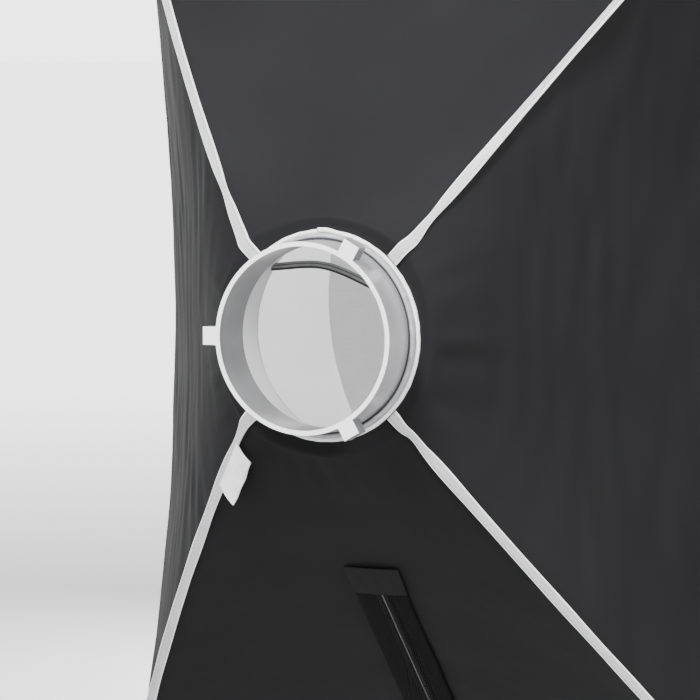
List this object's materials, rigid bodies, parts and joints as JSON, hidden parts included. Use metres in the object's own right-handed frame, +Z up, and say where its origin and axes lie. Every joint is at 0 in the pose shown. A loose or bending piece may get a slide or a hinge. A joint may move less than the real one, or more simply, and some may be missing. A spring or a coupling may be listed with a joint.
{
  "type": "photographic softbox",
  "caption": "Rectangular photographic softbox with a turning bayonet speed ring, folding ribs, black coated panels, a zipped slit and a white front diffuser.",
  "frame": {"origin": "on the optical axis, in the plane of the fabric collar at the back", "axes": "+Y is the way the light leaves, towards the diffuser; +Z is up; +X is right, seen from behind"},
  "size_m": [0.605, 0.3743, 0.9018],
  "materials": {
    "satin_aluminium": "satin, turned",
    "hub_plastic": "moulded, fine grain",
    "steel": "plated",
    "spring_steel": "drawn rod",
    "tip_plastic": "moulded",
    "black_cloth": "coated weave, silver inside",
    "silver_cloth": "silver coated",
    "grey_tape": "satin bias tape, stitched",
    "grey_elastic": "woven elastic",
    "black_webbing": "woven",
    "zip_tape": "herringbone weave",
    "zip_coil": "nylon coil",
    "zip_metal": "black enamel",
    "white_cloth": "translucent weave",
    "white_tape": "hook and loop edge",
    "white_satin": "woven satin"
  },
  "bodies": {
    "bayonet": {"bayonet_ring": "satin_aluminium"},
    "hub": {"hub_housing": "hub_plastic", "retaining_ring": "hub_plastic", "ring_screws": "steel", "hinge_pins": "steel", "throat_cover": "black_cloth", "throat_facing": "grey_tape", "throat_binding": "grey_tape", "throat_lining": "silver_cloth", "inner_strap": "grey_elastic"},
    "rib_upper_right": {"rib_root_upper_right": "tip_plastic", "rib_rod_upper_right": "spring_steel", "rib_tip_upper_right": "tip_plastic", "corner_pocket_upper_right": "black_webbing", "seam_binding_upper_right": "grey_tape", "panel_top_right": "black_cloth", "panel_right_upper": "black_cloth"},
    "rib_upper_left": {"rib_root_upper_left": "tip_plastic", "rib_rod_upper_left": "spring_steel", "rib_tip_upper_left": "tip_plastic", "corner_pocket_upper_left": "black_webbing", "seam_binding_upper_left": "grey_tape", "panel_top_left": "black_cloth", "panel_left_upper": "black_cloth"},
    "rib_lower_right": {"rib_root_lower_right": "tip_plastic", "rib_rod_lower_right": "spring_steel", "rib_tip_lower_right": "tip_plastic", "corner_pocket_lower_right": "black_webbing", "seam_binding_lower_right": "grey_tape", "panel_bottom_right": "black_cloth", "panel_right_lower": "black_cloth"},
    "rib_lower_left": {"rib_root_lower_left": "tip_plastic", "rib_rod_lower_left": "spring_steel", "rib_tip_lower_left": "tip_plastic", "corner_pocket_lower_left": "black_webbing", "seam_binding_lower_left": "grey_tape", "panel_bottom_left": "black_cloth", "panel_left_lower": "black_cloth", "side_tag": "white_satin"},
    "zip_strip": {"zip_tape_left": "zip_tape", "zip_tape_right": "zip_tape", "zip_coil": "zip_coil", "zip_end_patch": "black_cloth", "zip_front_stop": "zip_coil"},
    "zip_slider": {"zip_slider": "zip_metal"},
    "zip_pull": {"zip_pull": "zip_metal"},
    "diffuser": {"diffuser_cloth": "white_cloth", "diffuser_border": "white_tape", "diffuser_patch": "white_cloth"}
  },
  "joints": [
    {"name": "hub_turn", "type": "hinge", "parent": "bayonet", "child": "hub", "pos_m": [0, 0, 0], "axis": [0, 1, 0], "continuous": true},
    {"name": "rib_fold_upper_right", "type": "hinge", "parent": "hub", "child": "rib_upper_right", "pos_m": [0.04734, 0.01587, 0.04768], "axis": [-0.8462, 0, 0.5328], "range_deg": [0, 56], "deforming": ["panel_top_right", "panel_right_upper", "seam_binding_upper_right"]},
    {"name": "rib_fold_upper_left", "type": "hinge", "parent": "hub", "child": "rib_upper_left", "pos_m": [-0.04734, 0.01587, 0.04768], "axis": [-0.8462, 0, -0.5328], "range_deg": [0, 56], "deforming": ["panel_top_left", "panel_left_upper", "seam_binding_upper_left"]},
    {"name": "rib_fold_lower_right", "type": "hinge", "parent": "hub", "child": "rib_lower_right", "pos_m": [0.04734, 0.01587, -0.04768], "axis": [0.8462, 0, 0.5328], "range_deg": [0, 56], "deforming": ["panel_bottom_right", "panel_right_lower", "seam_binding_lower_right"]},
    {"name": "rib_fold_lower_left", "type": "hinge", "parent": "hub", "child": "rib_lower_left", "pos_m": [-0.04734, 0.01587, -0.04768], "axis": [0.8462, 0, -0.5328], "range_deg": [0, 56], "deforming": ["panel_bottom_left", "panel_left_lower", "seam_binding_lower_left"]},
    {"name": "zip_swing", "type": "hinge", "parent": "hub", "child": "zip_strip", "pos_m": [0, 0.0015, -0.0634], "axis": [1, 0, 0], "range_deg": [0, 47.23]},
    {"name": "zip_run", "type": "slide", "parent": "zip_strip", "child": "zip_slider", "axis": [0, -0.679, 0.7341], "range_m": [0, 0.33]},
    {"name": "pull_swing", "type": "hinge", "parent": "zip_slider", "child": "zip_pull", "pos_m": [0, 0.29666, -0.39531], "axis": [1, 0, 0], "range_deg": [-125, 35]},
    {"name": "diffuser_off", "type": "slide", "parent": "hub", "child": "diffuser", "axis": [0, 1, 0], "range_m": [0, 0.49]}
  ],
  "couplings": [
    {"joint": "rib_fold_upper_left", "follows": "rib_fold_upper_right", "ratio": 1},
    {"joint": "rib_fold_lower_right", "follows": "rib_fold_upper_right", "ratio": 1},
    {"joint": "rib_fold_lower_left", "follows": "rib_fold_upper_right", "ratio": 1},
    {"joint": "zip_swing", "follows": "rib_fold_upper_right", "ratio": 0.84323},
    {"joint": "diffuser_off", "follows": "rib_fold_upper_right", "m_per_rad": 0.5}
  ]
}
